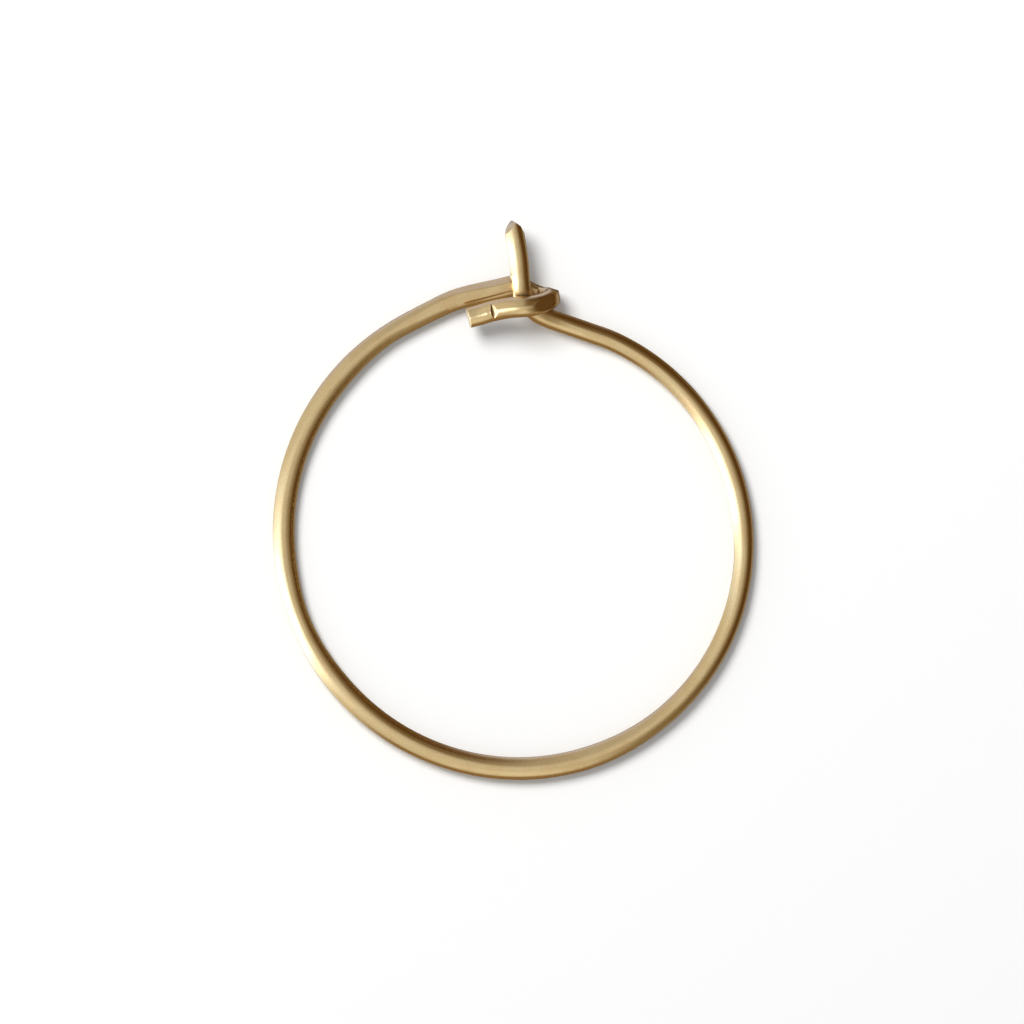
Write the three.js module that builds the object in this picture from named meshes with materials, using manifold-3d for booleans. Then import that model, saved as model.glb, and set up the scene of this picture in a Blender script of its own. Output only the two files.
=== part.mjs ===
// A hoop earring bent from one length of round, gold-coloured wire.
//
// One end of the wire is folded back on itself as an open eye, and the other end is turned up as a
// straight post that passes through the eye and would go through the ear. The hoop lies on its side,
// as it rests by itself: the floor is z = 0, and the post points along +Y. Millimetres, +Z up.

import * as THREE from 'three';
import Module from 'manifold-3d';
import { mergeVertices } from 'three/addons/utils/BufferGeometryUtils.js';

const wasm = await Module();
wasm.setup();

// Wire and hoop. Angles round the hoop run clockwise from the top, in degrees.
const WIRE_DIAMETER = 0.81;
const WIRE_SIDES = 16;
const HOOP_RADIUS = 9.62; // centre line at the bottom of the hoop
const SPIRAL = 0.565; // the eye's end runs this much further out, and the post's end this much further in
const OVAL = 0.06; // out of round, along the diagonals
const HOOP_FROM = 336; // where the strand of the eye becomes the hoop
const HOOP_TO = 26; // where the hoop becomes the arm of the post
const HOOP_STEP = 10;
const STEPS_PER_ROW = 3; // rings of the mesh from one row of the route to the next

// Stretches of the hoop that were squeezed when it was bent, where the wire is wider than it is tall.
// The inner and outer half of the wire grow by shares that come in and go out over the fade, in degrees.
const WIDE_STRETCHES = [
  { from: 70, to: 80, fade: 16, inner: 0.12, outer: 0.03 },
  { from: 166, to: 228, fade: 26, inner: 0.15, outer: 0.19 },
  { from: 266, to: 310, fade: 20, inner: 0.21, outer: 0.05 },
];

// The eye: its cut end, the fold over the post, the U-turn, and the strand that lies on the floor.
// x and y count from the middle of the hoop, and lift is the room under the wire.
const EYE_ROWS = [
  { x: -2.22, y: 9.17, lift: 0.83 },
  { x: -1.7, y: 9.31, lift: 0.9 },
  { x: -1.22, y: 9.45, lift: 1.04 },
  { x: -0.76, y: 9.55, lift: 1.26 },
  { x: -0.34, y: 9.61, lift: 1.46 },
  { x: 0.12, y: 9.64, lift: 1.58 },
  { x: 0.55, y: 9.69, lift: 1.5 },
  { x: 0.91, y: 9.78, lift: 1.31 },
  { x: 1.16, y: 9.9, lift: 1.08 },
  { x: 1.29, y: 10.01, lift: 0.79 },
  { x: 1.28, y: 10.09, lift: 0.47 },
  { x: 1.09, y: 10.12, lift: 0.185 },
  { x: 0.8, y: 10.18, lift: 0.02 },
  { x: 0.42, y: 10.31, lift: 0 },
  { x: 0.06, y: 10.46, lift: 0 },
  { x: -0.3, y: 10.52, lift: 0 },
  { x: -0.84, y: 10.4, lift: 0 },
  { x: -1.47, y: 10.26, lift: 0 },
  { x: -2.09, y: 10.12, lift: 0 },
  { x: -2.76, y: 9.92, lift: 0 },
];

// The arm leaves the floor, passes under the fold, and bends up into the post.
const POST_ROWS = [
  { x: 2.72, y: 8.64, lift: 0.04 },
  { x: 2.17, y: 8.83, lift: 0.09 },
  { x: 1.66, y: 9.0, lift: 0.17 },
  { x: 1.25, y: 9.145, lift: 0.28 },
  { x: 0.87, y: 9.31, lift: 0.41 },
  { x: 0.54, y: 9.53, lift: 0.54 },
  { x: 0.28, y: 9.8, lift: 0.69 },
  { x: 0.12, y: 10.13, lift: 0.83 },
  { x: 0.04, y: 10.5, lift: 0.94 },
  { x: 0, y: 10.9, lift: 0.98 },
  { x: -0.04, y: 11.44, lift: 1 },
  { x: -0.11, y: 11.98, lift: 1.01 },
  { x: -0.24, y: 12.73, lift: 1.01 },
  { x: -0.36, y: 13.45, lift: 1 },
];

// The tip of the post is cut to a chisel by two facets, which lean left and right of its direction.
const CHISEL_LEFT = { lean: -44, rise: 18 }; // this one also looks up
const CHISEL_RIGHT = { lean: 45, rise: 0 };
const CHISEL_OFFSET = 0.05; // the ridge between them, right of the middle of the wire
const CHISEL_WASTE = 0.25; // length of wire beyond the ridge, which the cuts take off
const CHISEL_BLOCK = 2; // size of the blocks that cut

// The other end is cut nearly square.
const CUT_TILT = 8; // it looks up by this much
const CUT_WASTE = 0.06;
const CUT_BLOCK = 1.1; // small enough to miss the strand beside it

// The nick that the pliers left in the fold is a notch with a steep wall toward the cut end.
const NICK_ROW = 2.4; // its place, in rows of the eye
const NICK_DEPTH = 0.12;
const NICK_STEEP_SIDE = 0.03;
const NICK_SLOPING_SIDE = 0.27;
const NICK_BAR = { length: 1.2, raise: 0.3 }; // the wedge that cuts it, longer and taller than the notch

const WIRE_RADIUS = WIRE_DIAMETER / 2;
const UP = new THREE.Vector3(0, 0, 1);
const { degToRad, radToDeg, smoothstep } = THREE.MathUtils;

function hoopRow(angle) {
  const turn = (angle - 180) / 180;
  const radius = HOOP_RADIUS + SPIRAL * turn - OVAL * Math.sin(degToRad(2 * angle));
  return { x: radius * Math.sin(degToRad(angle)), y: radius * Math.cos(degToRad(angle)), lift: 0 };
}

// The centre line of the wire. Its steps follow the rows, so that tight bends get short steps.
class WireRoute extends THREE.CatmullRomCurve3 {
  getPoint(t, target = new THREE.Vector3()) {
    super.getPoint(t, target);
    target.z = Math.max(target.z, 0) + WIRE_RADIUS;
    return target;
  }

  getUtoTmapping(u) {
    return u;
  }
}

function wireRoute() {
  const rows = [...EYE_ROWS];
  for (let angle = HOOP_FROM; angle >= HOOP_TO; angle -= HOOP_STEP) {
    rows.push(hoopRow(angle));
  }
  rows.push(...POST_ROWS);
  return new WireRoute(rows.map((row) => new THREE.Vector3(row.x, row.y, row.lift)));
}

// A regular section whose flats touch the round wire, turned so that one flat lies on the floor.
function wireSection(upAngle) {
  const cornerRadius = WIRE_RADIUS / Math.cos(Math.PI / WIRE_SIDES);
  const corners = [];
  for (let i = 0; i < WIRE_SIDES; i += 1) {
    const angle = upAngle + ((2 * i + 1) * Math.PI) / WIRE_SIDES;
    corners.push(new THREE.Vector2(cornerRadius * Math.cos(angle), cornerRadius * Math.sin(angle)));
  }
  return new THREE.Shape(corners);
}

function bentWire(route) {
  const steps = (route.points.length - 1) * STEPS_PER_ROW;
  const frames = route.computeFrenetFrames(steps, false);
  const onFloor = Math.round(steps / 2);
  const upAngle = Math.atan2(frames.binormals[onFloor].z, frames.normals[onFloor].z);
  return new THREE.ExtrudeGeometry(wireSection(upAngle), { steps, extrudePath: route });
}

function extraWidth(angle, side) {
  return WIDE_STRETCHES.reduce((sum, stretch) => {
    const { from, to, fade } = stretch;
    const inside = smoothstep(angle, from - fade, from) - smoothstep(angle, to, to + fade);
    return sum + stretch[side] * inside;
  }, 0);
}

// Widens the hoop's stretches inward and outward from its centre line, and leaves their height.
function squeezeHoop(geometry) {
  const { position } = geometry.attributes;
  for (let i = 0; i < position.count; i += 1) {
    const x = position.getX(i);
    const y = position.getY(i);
    const angle = (radToDeg(Math.atan2(x, y)) + 360) % 360;
    const middle = hoopRow(angle);
    const away = Math.hypot(x, y) - Math.hypot(middle.x, middle.y);
    const side = away < 0 ? 'inner' : 'outer';
    const grow = 1 + (away * extraWidth(angle, side)) / Math.hypot(x, y);
    position.setXY(i, x * grow, y * grow);
  }
  return geometry;
}

function toSolid(geometry) {
  geometry.deleteAttribute('normal');
  geometry.deleteAttribute('uv');
  const merged = mergeVertices(geometry, 1e-5);
  const vertProperties = new Float32Array(merged.attributes.position.array);
  const triVerts = new Uint32Array(merged.index.array);
  return new wasm.Manifold(new wasm.Mesh({ numProp: 3, vertProperties, triVerts }));
}

function toGeometry(solid) {
  const mesh = solid.getMesh();
  const geometry = new THREE.BufferGeometry();
  geometry.setAttribute('position', new THREE.BufferAttribute(new Float32Array(mesh.vertProperties), 3));
  geometry.setIndex(new THREE.BufferAttribute(new Uint32Array(mesh.triVerts), 1));
  geometry.computeVertexNormals();
  return geometry;
}

// A block whose one face passes through a point and looks back along the direction, so that
// subtracting it trims off what lies beyond.
function trimmingBlock(point, direction, size) {
  const block = new THREE.BoxGeometry(size, size, size);
  block.translate(0, 0, size / 2);
  block.applyQuaternion(new THREE.Quaternion().setFromUnitVectors(UP, direction));
  block.translate(point.x, point.y, point.z);
  return toSolid(block);
}

function trimPost(wire, route) {
  const along = route.getTangent(1);
  const rightward = new THREE.Vector3().crossVectors(along, UP).normalize();
  const upward = new THREE.Vector3().crossVectors(rightward, along);
  const ridge = route.getPoint(1).addScaledVector(along, -CHISEL_WASTE);
  ridge.addScaledVector(rightward, CHISEL_OFFSET);
  const facets = [CHISEL_LEFT, CHISEL_RIGHT].map(({ lean, rise }) => {
    const direction = along.clone().multiplyScalar(Math.cos(degToRad(lean)));
    direction.addScaledVector(rightward, Math.sin(degToRad(lean)));
    direction.multiplyScalar(Math.cos(degToRad(rise)));
    return direction.addScaledVector(upward, Math.sin(degToRad(rise)));
  });
  return facets.reduce((solid, direction) => {
    return solid.subtract(trimmingBlock(ridge, direction, CHISEL_BLOCK));
  }, wire);
}

function trimCutEnd(wire, route) {
  const along = route.getTangent(0);
  const middle = route.getPoint(0).addScaledVector(along, CUT_WASTE);
  const outward = along.clone().negate().setZ(0).normalize();
  outward.multiplyScalar(Math.cos(degToRad(CUT_TILT))).setZ(Math.sin(degToRad(CUT_TILT)));
  return wire.subtract(trimmingBlock(middle, outward, CUT_BLOCK));
}

// The nick is cut by a wedge laid across the wire, square to it, with its edge down.
function cutNick(wire, route) {
  const grow = (NICK_DEPTH + NICK_BAR.raise) / NICK_DEPTH;
  const wedge = new THREE.Shape([
    new THREE.Vector2(0, -NICK_DEPTH),
    new THREE.Vector2(NICK_SLOPING_SIDE * grow, NICK_BAR.raise),
    new THREE.Vector2(-NICK_STEEP_SIDE * grow, NICK_BAR.raise),
  ]);
  const bar = new THREE.ExtrudeGeometry(wedge, { depth: NICK_BAR.length, bevelEnabled: false });
  bar.translate(0, WIRE_RADIUS, -NICK_BAR.length / 2);
  const place = NICK_ROW / (route.points.length - 1);
  const along = route.getTangent(place);
  const across = new THREE.Vector3().crossVectors(along, UP).normalize();
  const upward = new THREE.Vector3().crossVectors(across, along);
  bar.applyMatrix4(new THREE.Matrix4().makeBasis(along, upward, across));
  bar.translate(...route.getPoint(place));
  return wire.subtract(toSolid(bar));
}

function hoopWire() {
  const route = wireRoute();
  let wire = toSolid(squeezeHoop(bentWire(route)));
  wire = trimPost(wire, route);
  wire = trimCutEnd(wire, route);
  wire = cutNick(wire, route);
  const geometry = toGeometry(wire);
  const gold = new THREE.MeshStandardMaterial({ color: 0xcbb07e, roughness: 0.35, metalness: 1 });
  const mesh = new THREE.Mesh(geometry, gold);
  mesh.name = 'hoop_wire';
  return mesh;
}

// The origin is on the floor, under the middle of the whole earring.
function centreOnFloor(mesh) {
  const box = new THREE.Box3().setFromObject(mesh);
  const middle = box.getCenter(new THREE.Vector3());
  mesh.geometry.translate(-middle.x, -middle.y, -box.min.z);
}

const earring = new THREE.Group();
const wire = hoopWire();
centreOnFloor(wire);
earring.add(wire);

export default earring;
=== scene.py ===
# %% [markdown]
# # A hoop earring of bent wire
#
# The real earring is one length of round gold wire. A jeweller bends the hoop over a mandrel, folds
# one end back on itself as an open eye, turns the other end up through the eye as the post that
# goes through the ear, and cuts the post's tip to a chisel with flush cutters.
#
# This lesson makes it the same way. A straight wire is drawn out, bent to its route, marked by the
# pliers and trimmed at both ends, and then it gets the finish of drawn, lightly worn gold.
# The construction model comes first, as a fixed frame: it says where everything is.

# %% Load the frame
import bisect
from math import atan2, cos, degrees, pi, radians, sin
from random import Random

import bpy
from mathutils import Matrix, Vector
from mathutils.kdtree import KDTree


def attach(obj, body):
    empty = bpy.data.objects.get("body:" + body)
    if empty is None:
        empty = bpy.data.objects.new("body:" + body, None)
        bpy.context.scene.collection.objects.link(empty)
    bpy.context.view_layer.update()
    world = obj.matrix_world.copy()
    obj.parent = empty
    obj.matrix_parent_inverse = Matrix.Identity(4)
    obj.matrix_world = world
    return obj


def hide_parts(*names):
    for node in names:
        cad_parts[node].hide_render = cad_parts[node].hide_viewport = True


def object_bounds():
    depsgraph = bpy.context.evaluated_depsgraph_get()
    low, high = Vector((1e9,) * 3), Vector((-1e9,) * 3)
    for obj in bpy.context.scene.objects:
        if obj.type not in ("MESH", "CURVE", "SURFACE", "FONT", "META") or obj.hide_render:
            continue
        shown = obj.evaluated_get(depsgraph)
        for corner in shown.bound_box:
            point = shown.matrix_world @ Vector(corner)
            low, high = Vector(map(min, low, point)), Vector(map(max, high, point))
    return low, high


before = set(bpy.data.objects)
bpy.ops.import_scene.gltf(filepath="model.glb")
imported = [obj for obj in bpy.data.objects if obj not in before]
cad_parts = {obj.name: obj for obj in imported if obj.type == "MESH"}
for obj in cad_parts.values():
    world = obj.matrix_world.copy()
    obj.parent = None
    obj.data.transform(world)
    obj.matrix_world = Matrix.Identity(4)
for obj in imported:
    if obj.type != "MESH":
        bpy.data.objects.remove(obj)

cad_low, cad_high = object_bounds()
mm = 0.001
print("the frame is", [round(side / mm, 2) for side in cad_high - cad_low], "mm")

# %% [markdown]
# ## The floor and the camera
#
# The hoop lies on its side, as it comes to rest by itself. The floor is a plain pale sheet. It lies
# a few thousandths of a millimetre under the wire, because two faces in exactly one plane show
# through each other in spots. The camera looks straight down from far away with a very long lens.
# A near camera would draw the raised post larger than the hoop below it.

# %% The floor
FLOOR_WIDTH = 4.0
FLOOR_GAP = 0.004 * mm


def deselect_all():
    """Operators act on all that is selected, and the loaded frame starts selected."""
    for thing in bpy.context.selected_objects:
        thing.select_set(False)


deselect_all()
bpy.ops.mesh.primitive_plane_add(size=FLOOR_WIDTH, location=(0, 0, cad_low.z - FLOOR_GAP))
floor = bpy.context.object
floor.name = "floor"
bpy.ops.object.transform_apply(location=True, rotation=True, scale=True)
print("the floor is", FLOOR_WIDTH, "m wide")

# %% The camera
CAMERA_LENS = 1000.0
VIEW_WIDTH = 42.76 * mm
VIEW_CENTRE = Vector((-0.051, -0.507, 0.4)) * mm
# What lies nearer or farther than these shares of the camera's distance isn't drawn.
NEAREST_SEEN = 0.01
FARTHEST_SEEN = 10

bpy.ops.object.camera_add()
camera = bpy.context.object
camera.name = "camera"
camera.data.lens = CAMERA_LENS
camera_distance = VIEW_WIDTH * CAMERA_LENS / camera.data.sensor_width
camera.location = VIEW_CENTRE + Vector((0, 0, camera_distance))
camera.data.clip_start = camera_distance * NEAREST_SEEN
camera.data.clip_end = camera_distance * FARTHEST_SEEN
bpy.context.scene.camera = camera
print("the camera is", round(camera_distance, 3), "m up")

# %% [markdown]
# ## The route of the wire
#
# The wire's centre line is the one that the construction model uses: a few rows listed for
# the eye and the post, and the hoop by a formula, because a hoop closed by hand is a slight spiral.
# A curve could also be pulled into shape by eye in the 3D view, but rows that are written down can
# be compared with the construction model's one by one.

# %% The driving dimensions
WIRE_RADIUS = 0.405 * mm

# The rows and the hoop's sizes are in millimetres. Its angles are clockwise from its top.
HOOP_RADIUS = 9.62
SPIRAL = 0.565
OVAL = 0.06
HOOP_ANGLES = range(336, 25, -10)

# x and y count from the middle of the hoop, and the third value is the room under the wire.
EYE_ROWS = [
    (-2.22, 9.17, 0.83), (-1.7, 9.31, 0.9), (-1.22, 9.45, 1.04), (-0.76, 9.55, 1.26),
    (-0.34, 9.61, 1.46), (0.12, 9.64, 1.58), (0.55, 9.69, 1.5), (0.91, 9.78, 1.31),
    (1.16, 9.9, 1.08), (1.29, 10.01, 0.79), (1.28, 10.09, 0.47), (1.09, 10.12, 0.185),
    (0.8, 10.18, 0.02), (0.42, 10.31, 0), (0.06, 10.46, 0), (-0.3, 10.52, 0),
    (-0.84, 10.4, 0), (-1.47, 10.26, 0), (-2.09, 10.12, 0), (-2.76, 9.92, 0),
]
POST_ROWS = [
    (2.72, 8.64, 0.04), (2.17, 8.83, 0.09), (1.66, 9.0, 0.17), (1.25, 9.145, 0.28),
    (0.87, 9.31, 0.41), (0.54, 9.53, 0.54), (0.28, 9.8, 0.69), (0.12, 10.13, 0.83),
    (0.04, 10.5, 0.94), (0, 10.9, 0.98), (-0.04, 11.44, 1), (-0.11, 11.98, 1.01),
    (-0.24, 12.73, 1.01), (-0.36, 13.45, 1),
]


def hoop_row(angle):
    """A row of the hoop, at an angle in degrees clockwise from its top."""
    turn = (angle - 180) / 180
    radius = HOOP_RADIUS + SPIRAL * turn - OVAL * sin(radians(2 * angle))
    return (radius * sin(radians(angle)), radius * cos(radians(angle)), 0)


def bearing_of(place):
    """The angle of a place, clockwise from the top of the hoop, in degrees."""
    return degrees(atan2(place.x, place.y)) % 360


rows = [Vector(row) * mm for row in EYE_ROWS + [hoop_row(a) for a in HOOP_ANGLES] + POST_ROWS]
print("the route has", len(rows), "rows")

# %% [markdown]
# A smooth spline through the rows is sampled finely. It is a centripetal one: each step between two
# rows counts as the square root of its length. That keeps the spline from swinging out or looping
# where a short step follows a long one, as it does in the eye.

# %% The spline through the rows
STEPS_PER_ROW = 24


def spline_point(row, part):
    """A point of the spline, a part of the way from one row to the next.

    It is the wire's middle, so it lies one radius higher than the room under the wire.
    """
    first, last = rows[row], rows[row + 1]
    before = rows[row - 1] if row > 0 else 2 * first - last
    after = rows[row + 2] if row + 2 < len(rows) else 2 * last - first
    in_step, step, out_step = [
        (b - a).length ** 0.5 for a, b in ((before, first), (first, last), (last, after))
    ]
    leave = (first - before) / in_step - (last - before) / (in_step + step) + (last - first) / step
    arrive = (last - first) / step - (after - first) / (step + out_step) + (after - last) / out_step
    leave, arrive = leave * step, arrive * step
    point = (
        first + leave * part
        + (3 * (last - first) - 2 * leave - arrive) * part**2
        + (2 * (first - last) + leave + arrive) * part**3
    )
    point.z = max(point.z, 0) + WIRE_RADIUS
    return point


route = [
    spline_point(row, step / STEPS_PER_ROW)
    for row in range(len(rows) - 1)
    for step in range(STEPS_PER_ROW)
]
route.append(spline_point(len(rows) - 2, 1.0))
reached = [0.0]
for start, end in zip(route, route[1:]):
    reached.append(reached[-1] + (end - start).length)
WIRE_LENGTH = reached[-1]
print("the wire is", round(WIRE_LENGTH / mm, 2), "mm long")

# %% [markdown]
# Three stretches of the hoop were squeezed when it was bent, so the wire is wider than it is tall
# there. Each half of the wire grows by a share of its own, which fades in and out along the hoop.

# %% How wide the wire is round the hoop
WIDE_STRETCHES = [
    # from, to and fade in degrees, and how much the inner and the outer half of the wire grow
    (70, 80, 16, 0.12, 0.03),
    (166, 228, 26, 0.15, 0.19),
    (266, 310, 20, 0.21, 0.05),
]


def eased(value, start, end):
    """Rises softly from 0 at start to 1 at end."""
    part = min(max((value - start) / (end - start), 0.0), 1.0)
    return part * part * (3 - 2 * part)


def extra_width(angle, is_inner):
    """By what share of the radius one half of the wire is wider, at an angle of the hoop."""
    total = 0.0
    for start, end, fade, inner, outer in WIDE_STRETCHES:
        share = inner if is_inner else outer
        total += share * (eased(angle, start - fade, start) - eased(angle, end, end + fade))
    return total


def outer_edge(point):
    """Where the outside of the wire is, beside a point of the hoop's centre line."""
    outward = Vector((point.x, point.y, 0)).normalized()
    return point + outward * (WIRE_RADIUS * (1 + extra_width(bearing_of(point), False)))


widest = max(extra_width(angle, True) + extra_width(angle, False) for angle in range(360))
print("the wire is up to", round(WIRE_RADIUS * (2 + widest) / mm, 2), "mm wide")

# %% [markdown]
# The route counts from the middle of the hoop, but the frame's origin is under the middle of the
# whole earring. Where the hoop's middle goes follows from the construction model's box: its left,
# right and near sides are the outside of the hoop, so the hoop's own outer edge must meet them.

# %% Put the route in the frame's place
edges = [outer_edge(point) for point in route]
left = min(edge.x for edge in edges)
right = max(edge.x for edge in edges)
near = min(edge.y for edge in edges)
HOOP_MIDDLE = Vector(((cad_low.x + cad_high.x - left - right) / 2, cad_low.y - near, cad_low.z))
route = [point + HOOP_MIDDLE for point in route]
print("the middle of the hoop is at", [round(v / mm, 3) for v in HOOP_MIDDLE])

# %% [markdown]
# Blender can bend a mesh along a curve object, so the sampled points are made into one. Its straight
# steps are about a twentieth of a millimetre long, too short to be seen as corners.

# %% The bending curve
bend_data = bpy.data.curves.new("bend_line", "CURVE")
bend_data.dimensions = "3D"
spline = bend_data.splines.new("POLY")
spline.points.add(len(route) - 1)
for knot, point in zip(spline.points, route):
    knot.co = (*point, 1.0)
bend_line = bpy.data.objects.new("bend_line", bend_data)
bpy.context.collection.objects.link(bend_line)
print("the bending curve has", len(spline.points), "points")

# %% [markdown]
# ## Drawing the wire
#
# Wire is made by pulling a rod through a die, which leaves it perfectly round and scored along its
# length. A curve with a round bevel would give the bent wire at once. Here a straight wire is made
# first, because every point can then remember where on the straight wire its metal was. One short
# ring is extruded from a circle and repeated end to end by an array, which also welds the rings.

# %% Draw the straight wire
WIRE_SIDES = 48
RING_LENGTH = 0.05 * mm
WELD_DISTANCE = RING_LENGTH / 50
CUT_END_LENGTH = 0.25 * mm
TIP_LENGTH = 1.3 * mm

ring_count = round((WIRE_LENGTH - CUT_END_LENGTH - TIP_LENGTH) / RING_LENGTH)
deselect_all()
# A circle is drawn lying down, and the quarter turn makes it look along X.
bpy.ops.mesh.primitive_circle_add(
    vertices=WIRE_SIDES, radius=WIRE_RADIUS, location=(CUT_END_LENGTH, 0, 0), rotation=(0, pi / 2, 0)
)
wire = bpy.context.object
wire.name = "drawn_wire"
bpy.ops.object.transform_apply(location=True, rotation=True, scale=True)
bpy.ops.object.mode_set(mode="EDIT")
bpy.ops.mesh.select_all(action="SELECT")
bpy.ops.mesh.extrude_region_move(TRANSFORM_OT_translate={"value": (RING_LENGTH, 0, 0)})
bpy.ops.object.mode_set(mode="OBJECT")
rings = wire.modifiers.new("rings", "ARRAY")
rings.count = ring_count
rings.use_merge_vertices = True
rings.merge_threshold = WELD_DISTANCE
bpy.ops.object.modifier_apply(modifier="rings")
print("the wire has", ring_count, "rings of", WIRE_SIDES, "sides")

# %% [markdown]
# The rings stop short of both ends. The last length at each end is pulled out in one piece and
# closed with a face, so that the cutters meet long clean faces there.


# %% Pull out the two ends
def select_points(chosen):
    """Leaves the wire in edit mode, with only those points selected that chosen() says yes to."""
    bpy.ops.object.mode_set(mode="EDIT")
    bpy.ops.mesh.select_mode(type="VERT")
    bpy.ops.mesh.select_all(action="DESELECT")
    bpy.ops.object.mode_set(mode="OBJECT")
    wire.data.vertices.foreach_set("select", [chosen(v) for v in wire.data.vertices])
    bpy.ops.object.mode_set(mode="EDIT")


array_end = CUT_END_LENGTH + ring_count * RING_LENGTH
PULLED_ENDS = [
    # where the rings stop, and how far the wire is pulled out from there
    (CUT_END_LENGTH, -CUT_END_LENGTH),
    (array_end, WIRE_LENGTH - array_end),
]
for rings_stop, pull in PULLED_ENDS:
    select_points(lambda vertex: abs(vertex.co.x - rings_stop) < RING_LENGTH / 2)
    bpy.ops.mesh.extrude_region_move(TRANSFORM_OT_translate={"value": (pull, 0, 0)})
    bpy.ops.mesh.edge_face_add()
bpy.ops.mesh.select_all(action="SELECT")
bpy.ops.mesh.normals_make_consistent(inside=False)
bpy.ops.object.mode_set(mode="OBJECT")
print("the straight wire has", len(wire.data.vertices), "points")

# %% [markdown]
# Drawn straight along X, the wire still knows its length and its round. Both are kept now as an
# attribute of its points, so that the finish can follow the metal round every bend. A UV map would
# do as well, but it would have a seam along the wire.

# %% Remember where each point was on the straight wire
straight = wire.data.attributes.new("straight", "FLOAT_VECTOR", "POINT")
for kept, vertex in zip(straight.data, wire.data.vertices):
    kept.vector = vertex.co
print("remembered the places of", len(straight.data), "points")

# %% [markdown]
# ## Bending it
#
# A Curve modifier lays the straight wire along the route, as bending over a mandrel does: the round
# section is kept, and the metal stretches a little outside each bend and crowds inside it.

# %% Bend the wire along its route
bend = wire.modifiers.new("bend", "CURVE")
bend.object = bend_line
bpy.ops.object.modifier_apply(modifier="bend")
bpy.data.objects.remove(bend_line)
bent_top = max(vertex.co.z for vertex in wire.data.vertices)
print("the bent wire is", round((bent_top - cad_low.z) / mm, 2), "mm high")

# %% [markdown]
# ## The marks of the pliers
#
# Flat jaws leave flats. Where they closed on the eye the wire is pressed a little wider and lower,
# with soft edges that catch the light, and the U-turn was pinched square from outside. Bending by
# hand leaves shallow flats all round the hoop as well. Sculpting would make such marks by feel. In
# code each is made as a jaw makes it: metal that stands beyond the jaw is pushed back to it, most
# in the middle of the mark.
#
# A blow is different from a squeeze. It leaves one face that looks the same way all over, even
# where the wire bends away under it. And a corner that slips pushes up a small rounded burr.

# %% A place on the wire
UP = Vector((0, 0, 1))
bent_from = wire.data.attributes["straight"].data
wire_points = [(kept.vector.x, vertex) for kept, vertex in zip(bent_from, wire.data.vertices)]


def place_of(row):
    """How far along the wire a row of the route is."""
    return reached[round(row * STEPS_PER_ROW)]


def middle_at(length):
    """The centre of the wire at a length along it, and its direction there."""
    step = min(max(bisect.bisect(reached, length), 1), len(route) - 1)
    part = (length - reached[step - 1]) / (reached[step] - reached[step - 1])
    return route[step - 1].lerp(route[step], part), (route[step] - route[step - 1]).normalized()


def square_to(direction, facing):
    """The way a mark looks, without its lean along the wire."""
    return (facing - direction * facing.dot(direction)).normalized()


print("the eye is", round(place_of(len(EYE_ROWS) - 1) / mm, 1), "mm of the wire")

# %% Jaws, a hammer and a slip
FLAT_SOFTNESS = 0.4


def pushed_back(beyond, softness):
    """How far metal beyond the jaw is pushed back: all of it, and less near the flat's edge."""
    if beyond <= -softness:
        return 0.0
    if beyond >= softness:
        return beyond
    return (beyond + softness) ** 2 / (4 * softness)


def press(length, facing, depth, reach, widening=0.0):
    """Presses a flat that looks one way into the wire, and spreads the metal to both sides of it."""
    for at, vertex in wire_points:
        fade = 1 - ((at - length) / reach) ** 2
        if fade <= 0:
            continue
        middle, direction = middle_at(at)
        outward = square_to(direction, facing)
        sideways = direction.cross(outward)
        spoke = vertex.co - middle
        beyond = spoke.dot(outward) - (WIRE_RADIUS - depth * fade)
        vertex.co += sideways * (spoke.dot(sideways) * widening * fade)
        vertex.co -= outward * pushed_back(beyond, FLAT_SOFTNESS * depth * fade)


def flatten(length, facing, depth, reach):
    """Hammers one flat face that looks exactly one way onto a bend of the wire."""
    facing = facing.normalized()
    near_face = [vertex for at, vertex in wire_points if abs(at - length) < reach]
    face_height = max(vertex.co.dot(facing) for vertex in near_face) - depth
    for vertex in near_face:
        vertex.co -= facing * pushed_back(vertex.co.dot(facing) - face_height, FLAT_SOFTNESS * depth)


def raise_burr(length, facing, height, radius):
    """Pushes up a small rounded burr on the side of the wire that looks one way."""
    middle, direction = middle_at(length)
    outward = square_to(direction, facing)
    top = middle + outward * WIRE_RADIUS
    for at, vertex in wire_points:
        if abs(at - length) < radius:
            fade = 1 - ((vertex.co - top).length / radius) ** 2
            if fade > 0:
                vertex.co += outward * (height * fade**2)


# %% Mark the eye and the post
PRESSED = [
    # row, the way the flat looks, depth and reach in mm, and widening
    (2.6, (0, 0.30, 1), 0.020, 2.6, 0.09),
    (17.5, (0, 0, 1), 0.050, 4.0, 0.09),
    (16.3, (-0.18, 0.85, 0.75), 0.040, 2.2, 0),
    (11.6, (0.36, 0.93, 0.20), 0.095, 1.1, 0),
    (9.6, (0.97, 0.10, 0.25), 0.060, 0.8, 0),
]
FLATTENED = [
    # row, the way the face looks, depth and reach in mm
    (7.2, (0.57, 0.0, 0.82), 0.10, 1.0),
]
BURRS = [
    # row, the way the burr looks, height and radius in mm
    (2.0, (0, -0.15, 1), 0.035, 0.11),
    (61.1, (-1, 0, 0.45), 0.045, 0.14),
]
for row, facing, depth, reach, widening in PRESSED:
    press(place_of(row), Vector(facing), depth * mm, reach * mm, widening)
for row, facing, depth, reach in FLATTENED:
    flatten(place_of(row), Vector(facing), depth * mm, reach * mm)
for row, facing, height, radius in BURRS:
    raise_burr(place_of(row), Vector(facing), height * mm, radius * mm)
print("made", len(PRESSED) + len(FLATTENED), "flats and", len(BURRS), "burrs")

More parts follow.
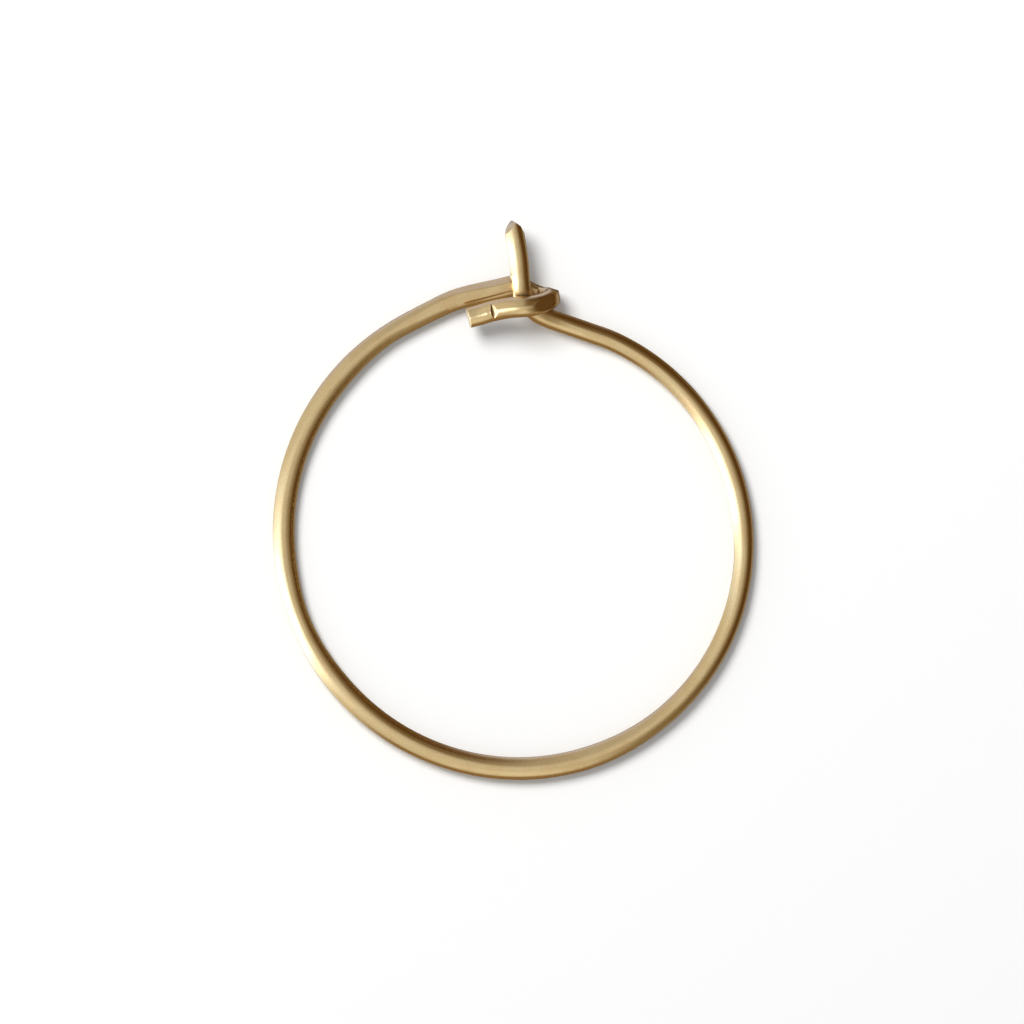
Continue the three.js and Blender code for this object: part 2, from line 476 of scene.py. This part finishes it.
# %% Bending marks round the hoop
MARK_COUNT = 60
MARK_ROWS = (19, 54)
MARK_DEPTHS = (0.001, 0.004)
MARK_REACHES = (0.4, 1.6)
# A mark looks up, or up to this many radians to either side.
MARK_TURN = 1.9

marks = Random(7)
for _ in range(MARK_COUNT):
    length = marks.uniform(place_of(MARK_ROWS[0]), place_of(MARK_ROWS[1]))
    around = marks.uniform(-MARK_TURN, MARK_TURN)
    depth = marks.uniform(*MARK_DEPTHS) * mm
    reach = marks.uniform(*MARK_REACHES) * mm
    _, direction = middle_at(length)
    press(length, UP * cos(around) + direction.cross(UP) * sin(around), depth, reach)
print("left", MARK_COUNT, "faint marks on the hoop")

# %% [markdown]
# On the squeezed stretches each point moves away from the centre line, to the inside of the hoop or
# to its outside, and keeps its height. This comes after the marks, because a jaw finds the metal it
# pushes back by its distance from the centre line.

# %% Widen the squeezed stretches
widened = 0
for vertex in wire.data.vertices:
    place = vertex.co - HOOP_MIDDLE
    place.z = 0
    angle = bearing_of(place)
    away = place.length - Vector(hoop_row(angle)).length * mm
    share = extra_width(angle, away < 0)
    vertex.co += place.normalized() * (away * share)
    if share > 0:
        widened += 1
print("widened the wire at", widened, "of", len(wire.data.vertices), "points")

# %% [markdown]
# ## Trimming the ends
#
# Flush cutters leave flat faces. The post gets two that meet in a ridge, so that it slips through
# the ear, and the corners are blunted so that they don't scratch. The other end is cut nearly
# square. A boolean with a large block would do, but bisecting with a plane is exactly such a cut:
# it takes off what lies beyond and fills the face.

# %% Where the cutters go
# A cut's face looks along the post, turned by a lean to the right and a rise, in degrees.
CHISEL_LEFT = {"lean": -44, "rise": 18}
CHISEL_RIGHT = {"lean": 45, "rise": 0}
CHISEL_OFFSET = 0.05 * mm
CHISEL_WASTE = 0.25 * mm
BLUNTED = [
    # the way the blunted corner looks, and how much comes off it
    ({"lean": 10, "rise": 0}, 0.045 * mm),
    ({"lean": 72, "rise": 0}, 0.065 * mm),
    ({"lean": -74, "rise": 0}, 0.02 * mm),
]
CUT_TILT = radians(8)
CUT_WASTE = 0.06 * mm

post_along = (route[-1] - route[-2]).normalized()
post_right = post_along.cross(UP).normalized()
post_up = post_right.cross(post_along)
ridge = route[-1] - post_along * CHISEL_WASTE + post_right * CHISEL_OFFSET


def leaning(lean, rise):
    """A direction that leaves the post's own by a lean to the right and a rise, in degrees."""
    level = post_along * cos(radians(lean)) + post_right * sin(radians(lean))
    return level * cos(radians(rise)) + post_up * sin(radians(rise))


fold_inward = (route[1] - route[0]).normalized()
fold_outward = Vector((-fold_inward.x, -fold_inward.y, 0)).normalized()
fold_cut = route[0] + fold_inward * CUT_WASTE
fold_cut_facing = fold_outward * cos(CUT_TILT) + UP * sin(CUT_TILT)
print("the ridge of the post's tip is at", [round(v / mm, 2) for v in ridge], "mm")

# %% [markdown]
# Bisecting cuts whatever is selected, and the wire passes itself in the eye. So each cut first picks
# its own length of metal, by the place on the straight wire that every point remembers.

# %% Cut
# A point nearer to a plane than this lies on it. Blender's own value is a tenth of a millimetre,
# which would blur a cut this small.
ON_PLANE = 0.0002 * mm


def metal(vertex):
    """How far along the straight wire this point's metal was."""
    return wire.data.attributes["straight"].data[vertex.index].vector.x


def cut(point, facing, is_near, keep=False):
    """Cuts the metal that is_near says yes to with a plane, and takes off what lies beyond it."""
    select_points(lambda vertex: is_near(metal(vertex)))
    bpy.ops.mesh.bisect(
        plane_co=point, plane_no=facing, threshold=ON_PLANE, use_fill=not keep, clear_outer=not keep
    )
    bpy.ops.object.mode_set(mode="OBJECT")


def at_tip(length):
    """True for the post's last stretch, with some rings behind its long faces."""
    return length > WIRE_LENGTH - 2 * TIP_LENGTH


def at_cut_end(length):
    """True for the fold's first stretch, with some rings behind its long faces."""
    return length < 3 * CUT_END_LENGTH


for facet in (CHISEL_LEFT, CHISEL_RIGHT):
    cut(ridge, leaning(**facet), at_tip)
for corner, depth in BLUNTED:
    facing = leaning(**corner)
    tip_points = [vertex.co.copy() for vertex in wire.data.vertices if at_tip(metal(vertex))]
    farthest = max(tip_points, key=facing.dot)
    cut(farthest - facing * depth, facing, at_tip)
cut(fold_cut, fold_cut_facing, at_cut_end)
print("the trimmed wire has", len(wire.data.polygons), "faces")

# %% [markdown]
# ## The nick
#
# A corner of the jaws slipped and left a notch across the fold, with a steep wall and a sloping one.
# A bump in the material would show no real edge there, so the notch is cut. Two bisections that take
# nothing off draw its outline on the wire, the metal between them is taken out, and one face is laid
# on each wall.

# %% Draw the outline of the nick
NICK_ROW = 2.4
NICK_DEPTH = 0.12 * mm
NICK_STEEP_SIDE = 0.03 * mm
NICK_SLOPING_SIDE = 0.27 * mm
NICK_REACH = 0.6 * mm

nick_place = place_of(NICK_ROW)
nick_middle, nick_along = middle_at(nick_place)
nick_across = nick_along.cross(UP).normalized()
nick_up = nick_across.cross(nick_along)
nick_bottom = nick_middle + nick_up * (WIRE_RADIUS - NICK_DEPTH)
steep_wall = (nick_along * NICK_DEPTH + nick_up * NICK_STEEP_SIDE).normalized()
sloping_wall = (nick_along * -NICK_DEPTH + nick_up * NICK_SLOPING_SIDE).normalized()
for wall in (steep_wall, sloping_wall):
    cut(nick_bottom, wall, lambda length: abs(length - nick_place) < NICK_REACH, keep=True)
print("the nick is", round((NICK_STEEP_SIDE + NICK_SLOPING_SIDE) / mm, 2), "mm wide")


# %% Take the metal out
def over(place, wall):
    """How far a place stands out over a wall of the nick."""
    return (place - nick_bottom).dot(wall)


def in_nick(place):
    """True for a place in the notch, over both of its walls."""
    return over(place, steep_wall) > ON_PLANE and over(place, sloping_wall) > ON_PLANE


bpy.ops.object.mode_set(mode="EDIT")
bpy.ops.mesh.select_mode(type="FACE")
bpy.ops.mesh.select_all(action="DESELECT")
bpy.ops.object.mode_set(mode="OBJECT")
near_nick = [
    face for face in wire.data.polygons if (face.center - nick_bottom).length < NICK_REACH
]
for face in near_nick:
    face.select = in_nick(face.center)
bpy.ops.object.mode_set(mode="EDIT")
bpy.ops.mesh.delete(type="FACE")
bpy.ops.mesh.select_mode(type="VERT")
bpy.ops.mesh.select_non_manifold()
bpy.ops.object.mode_set(mode="OBJECT")
rim = {vertex.index for vertex in wire.data.vertices if vertex.select}
print("the nick's rim has", len(rim), "points")


# %% Lay the walls
def on_walls(vertex, some_walls):
    """True for a point of the rim that lies in all of these walls."""
    return vertex.index in rim and all(abs(over(vertex.co, wall)) < ON_PLANE for wall in some_walls)


# The two points that lie in both walls are joined first, as the bottom edge that the walls share.
for some_walls in ([steep_wall, sloping_wall], [steep_wall], [sloping_wall]):
    select_points(lambda vertex: on_walls(vertex, some_walls))
    bpy.ops.mesh.edge_face_add()
    bpy.ops.object.mode_set(mode="OBJECT")
print("with the nick's walls the wire has", len(wire.data.polygons), "faces")

# %% [markdown]
# Last, the edges that the tools left are rubbed down a little, as polishing does. Slivers that the
# cuts left beside them are merged first, because a bevel on a sliver folds over. Only edges sharper
# than the facets of the round wire and the soft edges of the flats are bevelled.

# %% Break the sharp edges
SHARP_ANGLE = radians(32)
SLIVER = 0.012 * mm
BROKEN_EDGE = 0.012 * mm

bpy.ops.object.mode_set(mode="EDIT")
bpy.ops.mesh.select_mode(type="EDGE")
bpy.ops.mesh.select_all(action="DESELECT")
bpy.ops.mesh.edges_select_sharp(sharpness=SHARP_ANGLE)
bpy.ops.mesh.remove_doubles(threshold=SLIVER)
bpy.ops.mesh.select_all(action="DESELECT")
bpy.ops.mesh.edges_select_sharp(sharpness=SHARP_ANGLE)
bpy.ops.mesh.bevel(offset=BROKEN_EDGE, segments=2, affect="EDGES", clamp_overlap=True)
bpy.ops.mesh.select_all(action="SELECT")
bpy.ops.mesh.normals_make_consistent(inside=False)
bpy.ops.object.mode_set(mode="OBJECT")
print("the finished wire has", len(wire.data.polygons), "faces")

# %% [markdown]
# ## Where a cloth can't reach, and where shade falls
#
# Between two lengths of wire that nearly touch, nothing is polished, so the metal is rougher there,
# and little light gets in. Every point of the eye and the post gets a number for this: 1 where it
# touches another length of the wire, and 0 where there is room for a cloth. It is measured on the
# mesh and kept as an attribute, so that the finish only has to read it. The finish makes such
# places rougher, and lays a painted shade into their colour, dark brown where the wires crowd.

# %% Measure how crowded each point is
FAR_ALONG = 2 * mm
CLOTH_ROOM = 0.5 * mm
FREE_ROWS = (20, 54)

centre_line = KDTree(len(route))
for number, point in enumerate(route):
    centre_line.insert(point, number)
centre_line.balance()

crowding = wire.data.attributes.new("crowding", "FLOAT", "POINT")
hoop_start, hoop_end = place_of(FREE_ROWS[0]), place_of(FREE_ROWS[1])
for vertex in wire.data.vertices:
    at = metal(vertex)
    if hoop_start < at < hoop_end:
        continue
    near_steps = centre_line.find_range(vertex.co, WIRE_RADIUS + CLOTH_ROOM)
    others = [away for _, number, away in near_steps if abs(reached[number] - at) > FAR_ALONG]
    if others:
        crowding.data[vertex.index].value = 1 - max(min(others) - WIRE_RADIUS, 0) / CLOTH_ROOM
print("a cloth can't reach", sum(kept.value > 0 for kept in crowding.data), "points")

# %% The steep wall of the nick gets the painted shade as well
# Points this close to the steep wall of the nick are darkened fully with the painted shade.
WALL_SHADE_REACH = 0.008 * mm

painted_shade_points = [
    vertex.index for vertex in wire.data.vertices
    if (vertex.co - nick_bottom).length < NICK_REACH / 2 and abs(over(vertex.co, steep_wall)) < WALL_SHADE_REACH
]
for index in painted_shade_points:
    crowding.data[index].value = 1
print("dirt lies on", len(painted_shade_points), "points of the nick")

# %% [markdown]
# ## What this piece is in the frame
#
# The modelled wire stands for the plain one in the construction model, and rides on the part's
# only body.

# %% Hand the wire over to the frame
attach(wire, "root")
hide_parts("hoop_wire")
print(wire.name, "has", len(wire.data.vertices), "points")

# %% [markdown]
# ## The finish
# A painted shade is laid into the colour as well, dark where lengths of the wire crowd each other.
#
# The real finish is satin: the die leaves fine lines along the wire, handling leaves a fine grain
# and a few pits, and the alloy deepens a little in patches, most where the eye is hard to polish.
# All of it is laid out on the straight wire, so that it follows the metal round every bend.
# A painted picture could show the same, but it would have to be very large to stay sharp.
#
# Each effect is a small group of nodes with its sizes as named inputs, and it gives out one mask.


# %% Helpers for node trees
def node(tree, kind, values=(), **settings):
    """Adds a node to a tree. values are (socket, value) pairs, where a value may be an output."""
    made = tree.nodes.new(kind)
    for name, value in settings.items():
        setattr(made, name, value)
    for socket, value in values:
        if isinstance(value, bpy.types.NodeSocket):
            tree.links.new(value, made.inputs[socket])
        else:
            made.inputs[socket].default_value = value
    return made


def calculate(tree, operation, *values):
    """One step of arithmetic with numbers or outputs."""
    return node(tree, "ShaderNodeMath", enumerate(values), operation=operation).outputs[0]


def smooth_step(tree, value, start, end):
    """Rises softly from 0 at start to 1 at end."""
    return node(tree, "ShaderNodeMapRange", [
        ("Value", value), ("From Min", start), ("From Max", end),
    ], interpolation_type="SMOOTHSTEP").outputs[0]


def mix_colour(tree, factor, a, b):
    """Goes from colour a to colour b. A Mix node's colours are its inputs 6 and 7 and its output 2."""
    return node(tree, "ShaderNodeMix", [(0, factor), (6, a), (7, b)], data_type="RGBA").outputs[2]


# %% Helpers for node groups
def new_group(name, vector, numbers, result):
    """An empty group with one vector input, some number inputs and one number output."""
    tree = bpy.data.node_groups.new(name, "ShaderNodeTree")
    tree.interface.new_socket(vector, in_out="INPUT", socket_type="NodeSocketVector")
    for number in numbers:
        tree.interface.new_socket(number, in_out="INPUT", socket_type="NodeSocketFloat")
    tree.interface.new_socket(result, in_out="OUTPUT", socket_type="NodeSocketFloat")
    return tree, node(tree, "NodeGroupInput").outputs


def measured_in(tree, place, size):
    """A place counted in steps of a size, so that a pattern repeats once in each of them."""
    scale = calculate(tree, "DIVIDE", 1.0, size)
    return node(tree, "ShaderNodeVectorMath", [(0, place), ("Scale", scale)], operation="SCALE").outputs[0]


def use_group(tree, group, vector, values):
    """Puts a group into a tree, with its vector and its numbers, and gives its mask."""
    return node(tree, "ShaderNodeGroup", [(0, vector), *values.items()], node_tree=group).outputs[0]


# %% [markdown]
# The lines are a noise that is drawn out along the wire: it changes slowly with the length and fast
# across it.


# %% Lines along the wire
def drawing_lines_group():
    """Soft lines along X, about as long and as wide as given."""
    tree, given = new_group("drawing_lines", "Place", ["Line Length", "Line Width"], "Lines")
    along = calculate(tree, "DIVIDE", 1.0, given["Line Length"])
    across = calculate(tree, "DIVIDE", 1.0, given["Line Width"])
    scale = node(tree, "ShaderNodeCombineXYZ", [("X", along), ("Y", across), ("Z", across)]).outputs[0]
    place = node(tree, "ShaderNodeVectorMath", [(0, given["Place"]), (1, scale)], operation="MULTIPLY")
    noise = node(tree, "ShaderNodeTexNoise", [
        ("Vector", place.outputs[0]), ("Scale", 1.0), ("Detail", 2.0),
    ])
    node(tree, "NodeGroupOutput", [("Lines", smooth_step(tree, noise.outputs[0], 0.25, 0.75))])
    return tree


drawing_lines = drawing_lines_group()
print("made the group", drawing_lines.name)

# %% [markdown]
# Patches and grain are one noise at two sizes, cut off softly between a start and an end.


# %% Patches and grain
def patches_group():
    """Soft patches of a size: 0 where the noise is under Start, and 1 where it is over End."""
    tree, given = new_group("patches", "Place", ["Size", "Start", "End", "Detail"], "Mask")
    noise = node(tree, "ShaderNodeTexNoise", [
        ("Vector", measured_in(tree, given["Place"], given["Size"])),
        ("Scale", 1.0), ("Detail", given["Detail"]),
    ])
    mask = smooth_step(tree, noise.outputs[0], given["Start"], given["End"])
    node(tree, "NodeGroupOutput", [("Mask", mask)])
    return tree


patches = patches_group()
print("made the group", patches.name)

# %% [markdown]
# Pits are separate round dots. A Voronoi texture puts one place into each cell and knows the distance
# to it, and the cell's random colour says whether it gets a dot at all.


# %% Pits
def pits_group():
    """Scattered round dots: one place in each cell, and only a share of the cells have a dot."""
    tree, given = new_group("pits", "Place", ["Spacing", "Radius", "Share"], "Mask")
    place = measured_in(tree, given["Place"], given["Spacing"])
    cells = node(tree, "ShaderNodeTexVoronoi", [("Vector", place), ("Scale", 1.0)])
    distance = calculate(tree, "MULTIPLY", cells.outputs["Distance"], given["Spacing"])
    outside = smooth_step(tree, calculate(tree, "DIVIDE", distance, given["Radius"]), 0.5, 1.0)
    dot = calculate(tree, "SUBTRACT", 1.0, outside)
    chance = node(tree, "ShaderNodeSeparateColor", [(0, cells.outputs["Color"])]).outputs[0]
    chosen = calculate(tree, "LESS_THAN", chance, given["Share"])
    node(tree, "NodeGroupOutput", [("Mask", calculate(tree, "MULTIPLY", dot, chosen))])
    return tree


pits = pits_group()
print("made the group", pits.name)

# %% [markdown]
# A metal's colour is the colour of its reflections. The groups only shift it a little, and do most
# of their work through roughness and a bump that is about a thousandth of a millimetre high: a satin
# wire is one whose reflections are soft across it and streaked along it.

# %% Satin gold: where each effect is
gold = bpy.data.materials.new("satin_gold")
gold.use_nodes = True
tree = gold.node_tree
shader = tree.nodes["Principled BSDF"]
shader.inputs["Metallic"].default_value = 1.0
straight_place = node(tree, "ShaderNodeAttribute", attribute_name="straight").outputs["Vector"]

FINE_LINES = {"Line Length": 2.5 * mm, "Line Width": 0.035 * mm}
BROAD_LINES = {"Line Length": 7.0 * mm, "Line Width": 0.11 * mm}
CLOUDS = {"Size": 1.1 * mm, "Start": 0.38, "End": 0.68, "Detail": 2.0}
GRAIN = {"Size": 0.06 * mm, "Start": 0.3, "End": 0.7, "Detail": 1.0}
DOTS = {"Spacing": 0.55 * mm, "Radius": 0.035 * mm, "Share": 0.3}

fine_lines = use_group(tree, drawing_lines, straight_place, FINE_LINES)
broad_lines = use_group(tree, drawing_lines, straight_place, BROAD_LINES)
clouds = use_group(tree, patches, straight_place, CLOUDS)
grain = use_group(tree, patches, straight_place, GRAIN)
dots = use_group(tree, pits, straight_place, DOTS)
crowded = node(tree, "ShaderNodeAttribute", attribute_name="crowding").outputs["Fac"]
print("the gold starts with", len(tree.nodes), "nodes")

# %% Satin gold: its colour
GOLD_COLOUR = (0.92, 0.70, 0.38, 1)
DEEP_GOLD = (0.84, 0.57, 0.27, 1)
TARNISH = (0.50, 0.28, 0.12, 1)
# The colour of the painted shade, in the crevices of the eye and on the nick's steep wall
CREVICE_SHADE = (0.09, 0.042, 0.015, 1)
GRAIN_SHADE = (0.66, 0.47, 0.24, 1)
EYE_MIDDLE = HOOP_MIDDLE + Vector((0.1, 9.9, 0.8)) * mm
EYE_REACH = 1.7 * mm
CREVICE_SHADE_RANGE = (0.45, 0.9)
# How strongly each effect colours the gold where it is at its strongest
IN_COLOUR = {"clouds": 0.45, "lines": 0.16, "dots": 0.6, "eye": 0.35, "grain": 0.22, "painted_shade": 0.9}

bent_place = node(tree, "ShaderNodeTexCoord").outputs["Object"]
from_eye = node(tree, "ShaderNodeVectorMath", [(0, bent_place), (1, EYE_MIDDLE)], operation="DISTANCE")
in_eye = calculate(tree, "SUBTRACT", 1.0, smooth_step(tree, from_eye.outputs["Value"], 0.0, EYE_REACH))

deepened = calculate(tree, "MULTIPLY", clouds, IN_COLOUR["clouds"])
lined = calculate(tree, "MULTIPLY", fine_lines, IN_COLOUR["lines"])
pitted = calculate(tree, "MULTIPLY", dots, IN_COLOUR["dots"])
unpolished = calculate(tree, "MULTIPLY", calculate(tree, "MULTIPLY", in_eye, clouds), IN_COLOUR["eye"])
grained = calculate(tree, "MULTIPLY", grain, IN_COLOUR["grain"])
# The painted shade: dark brown laid into the gold where the wire crowds another length of itself
crevice_shaded = calculate(tree, "MULTIPLY", smooth_step(tree, crowded, *CREVICE_SHADE_RANGE), IN_COLOUR["painted_shade"])

gold_colour = mix_colour(tree, deepened, GOLD_COLOUR, DEEP_GOLD)
gold_colour = mix_colour(tree, lined, gold_colour, DEEP_GOLD)
gold_colour = mix_colour(tree, calculate(tree, "MAXIMUM", pitted, unpolished), gold_colour, TARNISH)
gold_colour = mix_colour(tree, grained, gold_colour, GRAIN_SHADE)
gold_colour = mix_colour(tree, crevice_shaded, gold_colour, CREVICE_SHADE)
tree.links.new(gold_colour, shader.inputs["Base Color"])
print("with its colour it has", len(tree.nodes), "nodes")

# %% Satin gold: its roughness and its relief
POLISHED = 0.20
CROWDED_RANGE = (0.0, 0.8)
BUMP_HEIGHT = 0.0011 * mm
# How much each effect adds to the roughness, and how high or deep it is where a broad line is 1
IN_ROUGHNESS = {"lines": 0.07, "clouds": 0.05, "crowded": 0.22}
IN_HEIGHT = {"lines": 0.35, "grain": 0.5, "dots": 3.0}

clouded = calculate(tree, "MULTIPLY", clouds, IN_ROUGHNESS["clouds"])
uncleaned = smooth_step(tree, crowded, *CROWDED_RANGE)
uncleaned = calculate(tree, "MULTIPLY", uncleaned, IN_ROUGHNESS["crowded"])
roughness = calculate(tree, "MULTIPLY_ADD", fine_lines, IN_ROUGHNESS["lines"], POLISHED)
roughness = calculate(tree, "ADD", roughness, clouded)
roughness = calculate(tree, "ADD", roughness, uncleaned)
tree.links.new(roughness, shader.inputs["Roughness"])

height = calculate(tree, "MULTIPLY", fine_lines, IN_HEIGHT["lines"])
height = calculate(tree, "ADD", height, broad_lines)
height = calculate(tree, "ADD", height, calculate(tree, "MULTIPLY", grain, IN_HEIGHT["grain"]))
height = calculate(tree, "SUBTRACT", height, calculate(tree, "MULTIPLY", dots, IN_HEIGHT["dots"]))
bump = node(tree, "ShaderNodeBump", [("Height", height), ("Distance", BUMP_HEIGHT)])
tree.links.new(bump.outputs[0], shader.inputs["Normal"])
print("the finished gold has", len(tree.nodes), "nodes")

# %% [markdown]
# Faces that meet at a small angle are shaded as one smooth surface, and the cut faces stay crisp.
# Shading everything smooth would smear the light over the cuts.

# %% Put the finish on the wire
SMOOTH_ANGLE = radians(35)

wire.data.materials.append(gold)
deselect_all()
wire.select_set(True)
bpy.context.view_layer.objects.active = wire
bpy.ops.object.shade_smooth_by_angle(angle=SMOOTH_ANGLE)
print("the wire is finished in", wire.data.materials[0].name)

# %% [markdown]
# ## The studio
#
# Polished gold has hardly any colour of its own: what is seen is the room round it. Lamps and cards
# could be set up as objects, but they would light the floor as well. A world shader can tell who is
# asking. The floor gets the light of an even dome, the camera sees a white backdrop, and only the
# gold's reflections see a room of soft panels: bright ones to the left and overhead, dim brown ones
# to the right, and one narrow white strip that draws the glint on the post and on the lower left of
# the hoop.

# %% The world
world = bpy.data.worlds.new("studio")
world.use_nodes = True
bpy.context.scene.world = world
bpy.context.scene.view_settings.view_transform = "Standard"
room = world.node_tree
room.nodes.clear()
print("colours are shown by the", bpy.context.scene.view_settings.view_transform, "view")

# %% [markdown]
# Each panel has a bearing, clockwise from +Y, and a half width to both sides of it. Its top and its
# bottom are in degrees down from straight overhead, so what is past 90 lies under the horizon, where
# only the lower sides of the wire see it.

# %% A soft panel of the room
PANEL_SHAPE = ["Bearing", "Half Width", "Top", "Bottom", "Side Fade", "Top Fade", "Bottom Fade"]


def soft_panel_group():
    """A mask that is 1 inside a panel of the room and fades to 0 outside it. Angles in degrees."""
    tree, given = new_group("soft_panel", "Direction", PANEL_SHAPE, "Mask")
    turned = node(tree, "ShaderNodeVectorRotate", [
        ("Vector", given["Direction"]), ("Angle", calculate(tree, "RADIANS", given["Bearing"])),
    ], rotation_type="Z_AXIS")
    parts = node(tree, "ShaderNodeSeparateXYZ", [(0, turned.outputs[0])]).outputs
    aside = calculate(tree, "DEGREES", calculate(tree, "ARCTAN2", parts["X"], parts["Y"]))
    aside = calculate(tree, "ABSOLUTE", aside)
    down = calculate(tree, "DEGREES", calculate(tree, "ARCCOSINE", parts["Z"]))

    def fade(value, start, width):
        """1 while value is under start, falling to 0 at start + width."""
        part = calculate(tree, "DIVIDE", calculate(tree, "SUBTRACT", value, start), width)
        return node(tree, "ShaderNodeMapRange", [
            ("Value", part), ("From Min", 0.0), ("From Max", 1.0), ("To Min", 1.0), ("To Max", 0.0),
        ], interpolation_type="SMOOTHSTEP").outputs[0]

    inside = fade(aside, given["Half Width"], given["Side Fade"])
    fade_start = calculate(tree, "SUBTRACT", given["Top"], given["Top Fade"])
    under_top = calculate(tree, "SUBTRACT", 1.0, fade(down, fade_start, given["Top Fade"]))
    over_bottom = fade(down, given["Bottom"], given["Bottom Fade"])
    mask = calculate(tree, "MULTIPLY", calculate(tree, "MULTIPLY", inside, under_top), over_bottom)
    node(tree, "NodeGroupOutput", [("Mask", mask)])
    return tree


soft_panel = soft_panel_group()
print("made the group", soft_panel.name)

# %% The room that the gold reflects
ROOM_COLOUR = (0.50, 0.50, 0.49, 1)
PANELS = [
    # colour, bearing, half width, top, bottom, fades at the sides, the top and the bottom
    ((0.66, 0.66, 0.62), 236, 74, 10, 180, 16, 10, 1),  # the bright wall on the left
    ((0.66, 0.66, 0.64), 0, 180, 0, 6, 1, 0.1, 22),  # the ceiling
    ((0.80, 0.80, 0.75), 180, 12, 40, 66, 10, 14, 10),  # a small card on the near side
    ((0.28, 0.19, 0.09), 182, 30, 92, 180, 12, 16, 1),  # brown, low on the near side
    ((0.26, 0.21, 0.13), 100, 48, 48, 115, 16, 34, 42),  # the dim wall on the right
    ((0.17, 0.12, 0.055), 27, 16, 30, 150, 18, 26, 30),  # a dim strip on the far side
    ((0.58, 0.60, 0.78), 338, 26, 97, 180, 20, 16, 1),  # cool light, low on the far side
    ((0.095, 0.045, 0.008), 68, 44, 68, 100, 40, 28, 20),  # a dark band round the right
    ((1.05, 1.20, 1.42), 258, 20, 22, 90, 10, 14, 80),  # a cool window on the left
    ((3.2, 3.3, 3.6), 252, 11, 48, 130, 5, 28, 26),  # the narrow white strip in it
    ((0.12, 0.085, 0.045), 70, 105, 162, 180, 20, 28, 1),  # brown, nearly straight below
]

direction = node(room, "ShaderNodeTexCoord").outputs["Generated"]
room_colour = ROOM_COLOUR
for tint, *shape in PANELS:
    mask = use_group(room, soft_panel, direction, dict(zip(PANEL_SHAPE, shape)))
    room_colour = mix_colour(room, mask, room_colour, (*tint, 1))
print("the room has", len(PANELS), "panels")

# %% Who sees what
DOME_COLOUR = (0.95, 0.975, 1, 1)
DOME_STRENGTH = 0.48
BACKDROP_COLOUR = (1, 1, 1, 1)

seen = node(room, "ShaderNodeBackground", [("Color", room_colour)])
dome = node(room, "ShaderNodeBackground", [("Color", DOME_COLOUR), ("Strength", DOME_STRENGTH)])
backdrop = node(room, "ShaderNodeBackground", [("Color", BACKDROP_COLOUR), ("Strength", 1.0)])
path = node(room, "ShaderNodeLightPath").outputs
lit = node(room, "ShaderNodeMixShader", [
    (0, path["Is Glossy Ray"]), (1, dome.outputs[0]), (2, seen.outputs[0]),
])
shown = node(room, "ShaderNodeMixShader", [
    (0, path["Is Camera Ray"]), (1, lit.outputs[0]), (2, backdrop.outputs[0]),
])
node(room, "ShaderNodeOutputWorld", [("Surface", shown.outputs[0])])
print("the world has", len(room.nodes), "nodes")

# %% [markdown]
# The dome alone would leave hardly any shadow, and the hoop would seem to float. One large round
# lamp on the far left gives it a soft shadow. The lamp is hidden from the gold's reflections, where
# it would be one more bright spot.

# %% The key light, for the soft shadow on the floor
KEY_BEARING = radians(321)
KEY_HEIGHT = radians(57)
KEY_DISTANCE = 0.4
KEY_SIZE = 0.2
KEY_ENERGY = 1.5
KEY_COLOUR = (1.0, 0.985, 0.965)

bpy.ops.object.light_add(type="AREA")
key = bpy.context.object
key.name = "key_light"
key.data.shape = "DISK"
key.data.size = KEY_SIZE
key.data.energy = KEY_ENERGY
key.data.color = KEY_COLOUR
key.visible_glossy = False
aim = Vector((
    sin(KEY_BEARING) * cos(KEY_HEIGHT),
    cos(KEY_BEARING) * cos(KEY_HEIGHT),
    sin(KEY_HEIGHT),
))
key.location = aim * KEY_DISTANCE
key.rotation_euler = aim.to_track_quat("Z", "Y").to_euler()
print("the key light is at", [round(v, 2) for v in key.location], "m")

# %% [markdown]
# The floor is plain matt paper. It is hidden from the gold's reflections too: they see the low
# panels of the room instead, which are darker than a white floor close by would be.

# %% The floor's finish
PAPER_COLOUR = (0.86, 0.86, 0.86, 1)
PAPER_ROUGHNESS = 0.8

floor.visible_glossy = False
paper = bpy.data.materials.new("pale_floor")
paper.use_nodes = True
paper_shader = paper.node_tree.nodes["Principled BSDF"]
paper_shader.inputs["Base Color"].default_value = PAPER_COLOUR
paper_shader.inputs["Roughness"].default_value = PAPER_ROUGHNESS
floor.data.materials.append(paper)
print("the floor is finished in", floor.data.materials[0].name)
